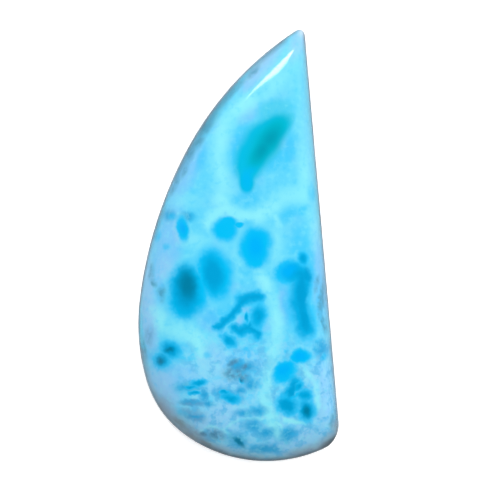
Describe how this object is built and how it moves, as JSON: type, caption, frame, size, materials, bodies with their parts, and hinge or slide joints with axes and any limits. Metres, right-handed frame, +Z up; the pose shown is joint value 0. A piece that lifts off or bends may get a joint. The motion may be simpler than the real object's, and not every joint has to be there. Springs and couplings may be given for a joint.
{
  "type": "larimar cabochon",
  "caption": "Free-form larimar cabochon: a fin-shaped sky-blue stone with one straight side, a low polished dome and a flat back, to lie flat or be set in a bezel.",
  "frame": {"origin": "on the flat back, at the middle of the outline's box", "axes": "+Z up out of the dome, +Y along the stone towards its tip, +X towards the straight side"},
  "size_m": [0.02, 0.0432, 0.0065],
  "materials": {
    "larimar": "polished"
  },
  "bodies": {
    "root": {"cabochon": "larimar"}
  },
  "joints": []
}
